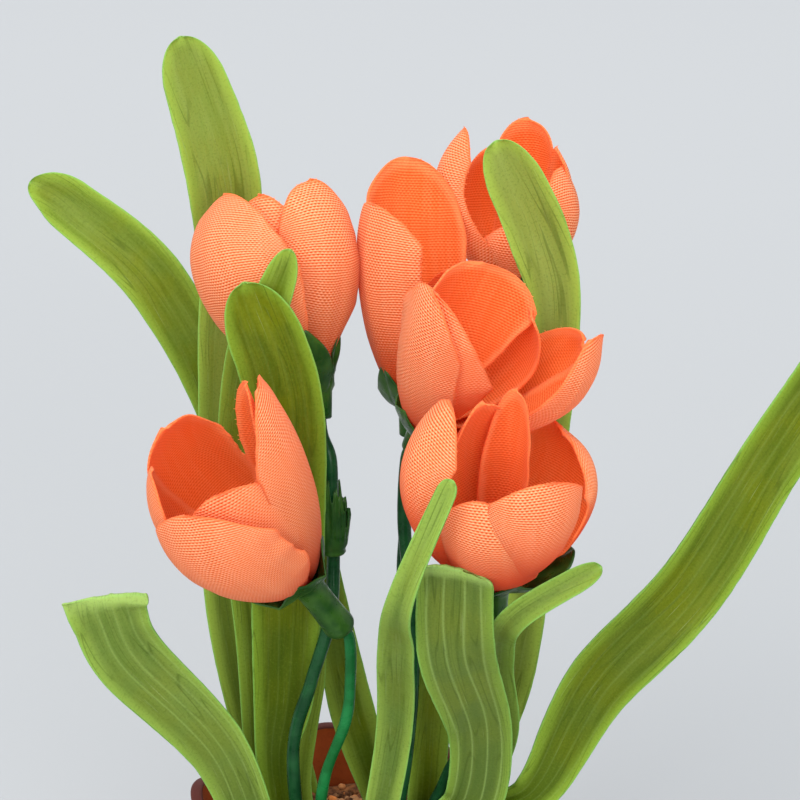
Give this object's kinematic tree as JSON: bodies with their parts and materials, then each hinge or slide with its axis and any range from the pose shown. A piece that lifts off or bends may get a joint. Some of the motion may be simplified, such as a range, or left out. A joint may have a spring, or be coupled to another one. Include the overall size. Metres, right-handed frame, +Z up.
{
  "type": "artificial potted tulip",
  "caption": "Small artificial tulip plant: coral fabric blooms on wired stems and moulded strap leaves, set in soil in a scalloped brown pot.",
  "frame": {"origin": "middle of the pot's flat foot, on the surface that it stands on", "axes": "+Z up, out of the soil; the plant is seen from the front by looking along +Y, with +X to the right"},
  "size_m": [0.1359, 0.086, 0.1736],
  "materials": {
    "petal": "woven, matt",
    "leaf": "moulded, satin",
    "calyx": "moulded, satin",
    "wire": "smooth plastic coat",
    "pot": "matt",
    "soil": "loose crumb",
    "foam": "open foam"
  },
  "bodies": {
    "root": {"leaf_back_tall": "leaf", "leaf_left_arch": "leaf", "leaf_left_front": "leaf", "leaf_left_slim": "leaf", "leaf_right_tall": "leaf", "leaf_right_long": "leaf", "leaf_left_low": "leaf", "leaf_front_narrow": "leaf", "leaf_front_wide": "leaf", "leaf_right_curled": "leaf", "leaf_middle_back": "leaf", "leaf_middle_short": "leaf", "leaf_middle_thin": "leaf", "stem_upper_left": "wire", "bloom_upper_left": "petal", "calyx_upper_left": "calyx", "stem_lower_left": "wire", "bloom_lower_left": "petal", "calyx_lower_left": "calyx", "stem_upper_middle": "wire", "bloom_upper_middle": "petal", "calyx_upper_middle": "calyx", "stem_upper_right": "wire", "bloom_upper_right": "petal", "calyx_upper_right": "calyx", "stem_centre": "wire", "bloom_centre": "petal", "calyx_centre": "calyx", "stem_lower_right": "wire", "bloom_lower_right": "petal", "calyx_lower_right": "calyx", "stem_sheath": "calyx", "pot": "pot", "soil": "soil", "foam_plug": "foam"}
  },
  "joints": []
}
